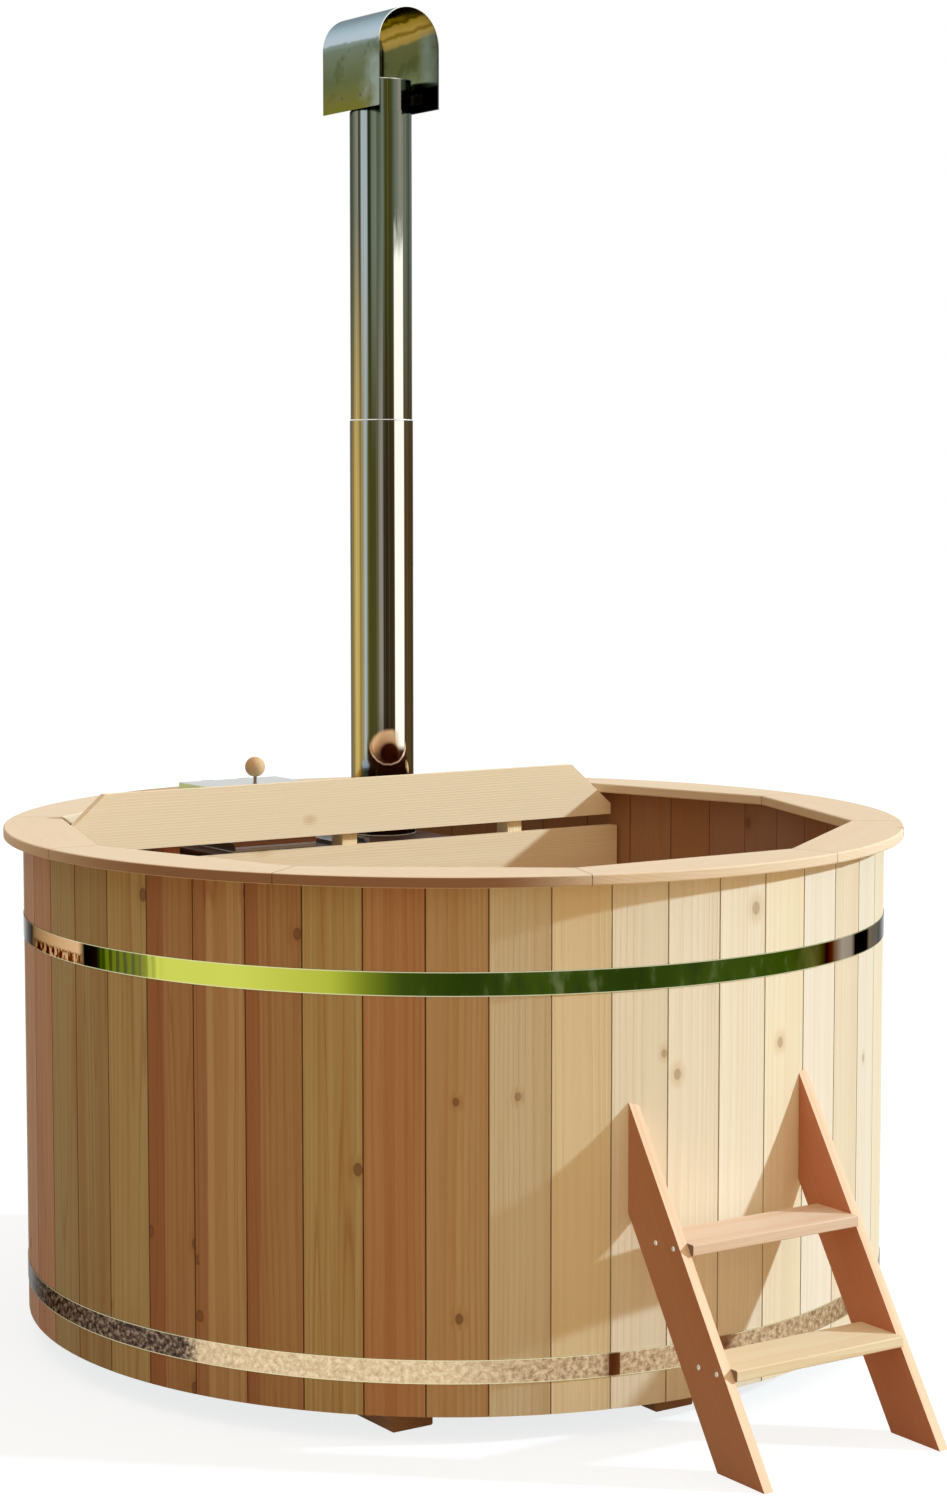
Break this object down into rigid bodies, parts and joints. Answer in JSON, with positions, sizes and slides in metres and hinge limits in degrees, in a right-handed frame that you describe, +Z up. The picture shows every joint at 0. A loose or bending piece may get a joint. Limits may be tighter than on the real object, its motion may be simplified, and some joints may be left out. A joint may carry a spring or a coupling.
{
  "type": "wooden hot tub",
  "caption": "Round wooden hot tub of hooped staves with a rim, benches, a wood-fired stove behind a board guard, chimney with hood, step ladder and drain valve.",
  "frame": {"origin": "on the ground under the tub's axis, at the underside of the middle beam", "axes": "+Z up, +Y towards the stove and chimney, -Y towards the ladder, X along the ladder's steps and the guard boards"},
  "size_m": [1.88, 2.272, 2.829],
  "materials": {
    "wall_wood": "planed, oiled",
    "rim_wood": "planed, rounded edges",
    "guard_wood": "planed",
    "floor_wood": "planed",
    "beam_wood": "sawn, stained",
    "ladder_wood": "planed",
    "knob_wood": "turned",
    "hoop_steel": "mirror polished",
    "chimney_steel": "mirror polished",
    "hatch_steel": "brushed",
    "stove_metal": "mill finish, welded",
    "grate_iron": "cast",
    "fastener_steel": "bright",
    "drain_brass": "nickel-free brass, satin",
    "lever_paint": "dipped"
  },
  "bodies": {
    "tub": {"staves": "wall_wood", "floor_boards": "floor_wood", "beam_left": "beam_wood", "beam_middle": "beam_wood", "beam_right": "beam_wood", "rim_board_1": "rim_wood", "rim_board_2": "rim_wood", "rim_board_3": "rim_wood", "rim_board_4": "rim_wood", "rim_board_5": "rim_wood", "rim_board_6": "rim_wood", "rim_board_7": "rim_wood", "rim_board_8": "rim_wood", "rim_board_9": "rim_wood", "rim_board_10": "rim_wood", "upper_hoop": "hoop_steel", "lower_hoop": "hoop_steel", "hoop_lugs": "fastener_steel", "hoop_bolts": "fastener_steel", "guard_board_1": "guard_wood", "guard_board_2": "guard_wood", "guard_board_3": "guard_wood", "guard_board_4": "guard_wood", "guard_board_5": "guard_wood", "guard_board_6": "guard_wood", "guard_post_left": "guard_wood", "guard_post_middle": "guard_wood", "guard_post_right": "guard_wood", "guard_screws": "fastener_steel", "stove_shell": "stove_metal", "stove_feet": "stove_metal", "stove_top_plate": "hatch_steel", "fire_grate": "grate_iron", "ash_pan": "stove_metal", "flue_baffle": "stove_metal", "hatch_neck": "hatch_steel", "hinge_bracket": "fastener_steel", "hinge_pin": "fastener_steel", "air_slide_rails": "fastener_steel", "chimney_collar": "chimney_steel", "chimney_lower_pipe": "chimney_steel", "chimney_upper_pipe": "chimney_steel", "hood_sleeve": "chimney_steel", "hood": "chimney_steel", "hood_brackets": "fastener_steel", "hood_rivets": "fastener_steel", "ladder_side_left": "ladder_wood", "ladder_side_right": "ladder_wood", "ladder_step_lower": "ladder_wood", "ladder_step_upper": "ladder_wood", "ladder_screws": "fastener_steel", "seat_slats": "floor_wood", "seat_bearers": "floor_wood", "drain_valve": "drain_brass", "drain_nut": "drain_brass"},
    "fuel_lid": {"hatch_lid": "hatch_steel", "lid_stem": "fastener_steel", "lid_knob": "knob_wood"},
    "air_slide": {"air_slide": "hatch_steel"},
    "drain_lever": {"drain_lever": "lever_paint"}
  },
  "joints": [
    {"name": "lid_hinge", "type": "hinge", "parent": "tub", "child": "fuel_lid", "pos_m": [-0.152, 0.715, 1.084], "axis": [-1, 0, 0], "range_deg": [0, 95]},
    {"name": "air_slide_travel", "type": "slide", "parent": "tub", "child": "air_slide", "axis": [0, -1, 0], "range_m": [0, 0.07]},
    {"name": "drain_lever_turn", "type": "hinge", "parent": "tub", "child": "drain_lever", "pos_m": [0, 0.944, 0.23], "axis": [0, 0, -1], "range_deg": [0, 90]}
  ]
}
